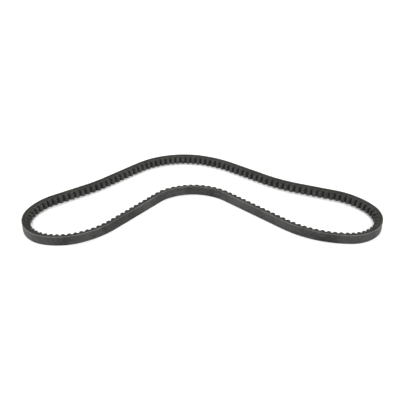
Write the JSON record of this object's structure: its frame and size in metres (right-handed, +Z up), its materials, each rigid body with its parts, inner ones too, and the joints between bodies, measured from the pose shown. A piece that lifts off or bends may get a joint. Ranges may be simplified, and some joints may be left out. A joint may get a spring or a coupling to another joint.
{
  "type": "v belt",
  "caption": "Raw-edge V belt with moulded cogs, lying loose on its side: fabric back, rubber plies, one spiral tensile cord, fabric-faced cogs.",
  "frame": {"origin": "on the floor under the middle of the belt's outline, as it lies on its side", "axes": "+X along the longest extent of the loop, +Z up out of the floor along the belt's width, +Y across the loop"},
  "size_m": [0.4566, 0.1979, 0.013],
  "materials": {
    "back_fabric": "matt rubberised cotton and polyester fabric",
    "back_fabric_inner": "matt rubberised fabric, cut edge",
    "tension_rubber": "matt ground rubber",
    "adhesion_rubber": "matt cut rubber",
    "cord": "twisted polyester cord",
    "compression_rubber": "matt fibre-loaded rubber, ground edge",
    "cog_rubber": "matt fibre-loaded rubber, ground edge",
    "cog_fabric": "matt moulded fabric"
  },
  "bodies": {
    "root": {"back_fabric_outer_ply": "back_fabric", "back_fabric_inner_ply": "back_fabric_inner", "tension_rubber": "tension_rubber", "upper_adhesion_rubber": "adhesion_rubber", "tensile_cord": "cord", "lower_adhesion_rubber": "adhesion_rubber", "upper_compression_rubber": "compression_rubber", "lower_compression_rubber": "compression_rubber", "cog_rubber": "cog_rubber", "cog_facing_fabric": "cog_fabric"}
  },
  "joints": []
}
